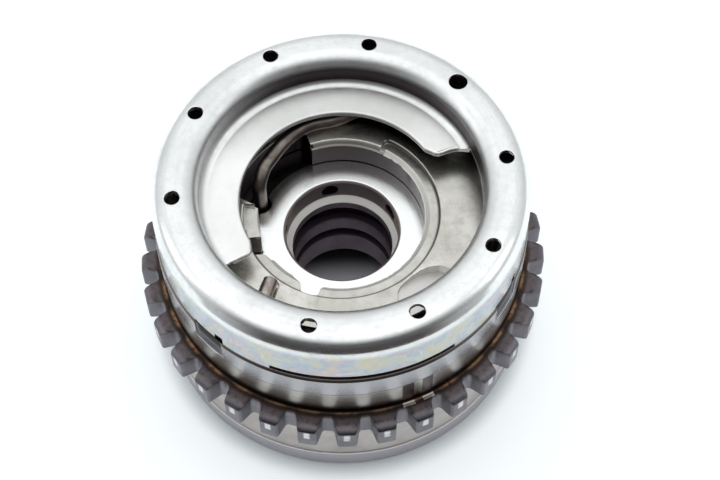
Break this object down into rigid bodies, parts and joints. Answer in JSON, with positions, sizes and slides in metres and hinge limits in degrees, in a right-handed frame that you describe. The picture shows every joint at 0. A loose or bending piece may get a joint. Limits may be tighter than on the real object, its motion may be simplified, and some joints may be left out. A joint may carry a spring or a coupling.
{
  "type": "cam phaser",
  "caption": "Vane-type cam phaser: chain sprocket housing, front cover and stamped spring cap round a bored rotor that a torsion spring turns back to its stop.",
  "frame": {"origin": "on the camshaft axis, in the rear cover's outer face, on which the part stands", "axes": "+Z along the camshaft axis, from the rear cover to the stamped cap; -Y is the side the picture looks at"},
  "size_m": [0.1004, 0.1004, 0.061],
  "materials": {
    "zinc_sheet": "zinc plated sheet, satin, slightly iridescent skirt",
    "sintered_steel": "sintered, matte, beige-grey, ground rim",
    "sprocket_steel": "hardened sintered steel, dark, ground tooth tips",
    "ground_rotor": "ground face, turned bore",
    "spring_wire": "oil-tempered round wire, brown-grey",
    "bright_steel": "bright turned steel",
    "seal_plastic": "dark filled plastic seal strip"
  },
  "bodies": {
    "housing": {"sprocket_housing": "sprocket_steel", "front_cover": "sintered_steel", "rear_cover": "sintered_steel", "spring_cap": "zinc_sheet", "return_spring": "spring_wire", "cover_dowel": "bright_steel", "cover_screw_1": "bright_steel", "cover_screw_2": "bright_steel", "cover_screw_3": "bright_steel", "cover_screw_4": "bright_steel", "cover_screw_5": "bright_steel", "web_seal_1": "seal_plastic", "web_seal_2": "seal_plastic", "web_seal_3": "seal_plastic", "web_seal_4": "seal_plastic", "web_seal_5": "seal_plastic", "web_seal_spring_1": "bright_steel", "web_seal_spring_2": "bright_steel", "web_seal_spring_3": "bright_steel", "web_seal_spring_4": "bright_steel", "web_seal_spring_5": "bright_steel"},
    "rotor": {"rotor": "ground_rotor", "cam_dowel": "bright_steel", "lock_sleeve": "bright_steel", "lock_spring": "spring_wire", "lock_plug": "seal_plastic", "vane_seal_1": "seal_plastic", "vane_seal_2": "seal_plastic", "vane_seal_3": "seal_plastic", "vane_seal_4": "seal_plastic", "vane_seal_5": "seal_plastic", "vane_seal_spring_1": "bright_steel", "vane_seal_spring_2": "bright_steel", "vane_seal_spring_3": "bright_steel", "vane_seal_spring_4": "bright_steel", "vane_seal_spring_5": "bright_steel"},
    "lock_pin": {"lock_pin": "bright_steel"}
  },
  "joints": [
    {"name": "rotor_turn", "type": "hinge", "parent": "housing", "child": "rotor", "pos_m": [0, 0, 0], "axis": [0, 0, -1], "range_deg": [0, 20], "stiffness_Nm_per_rad": 1.5, "springref_deg": -45.84, "deforming": ["return_spring"]},
    {"name": "lock_pin_slide", "type": "slide", "parent": "rotor", "child": "lock_pin", "axis": [0, 0, 1], "range_m": [0, 0.0032], "stiffness_N_per_m": 450, "springref_m": -0.006, "deforming": ["lock_spring"]}
  ]
}
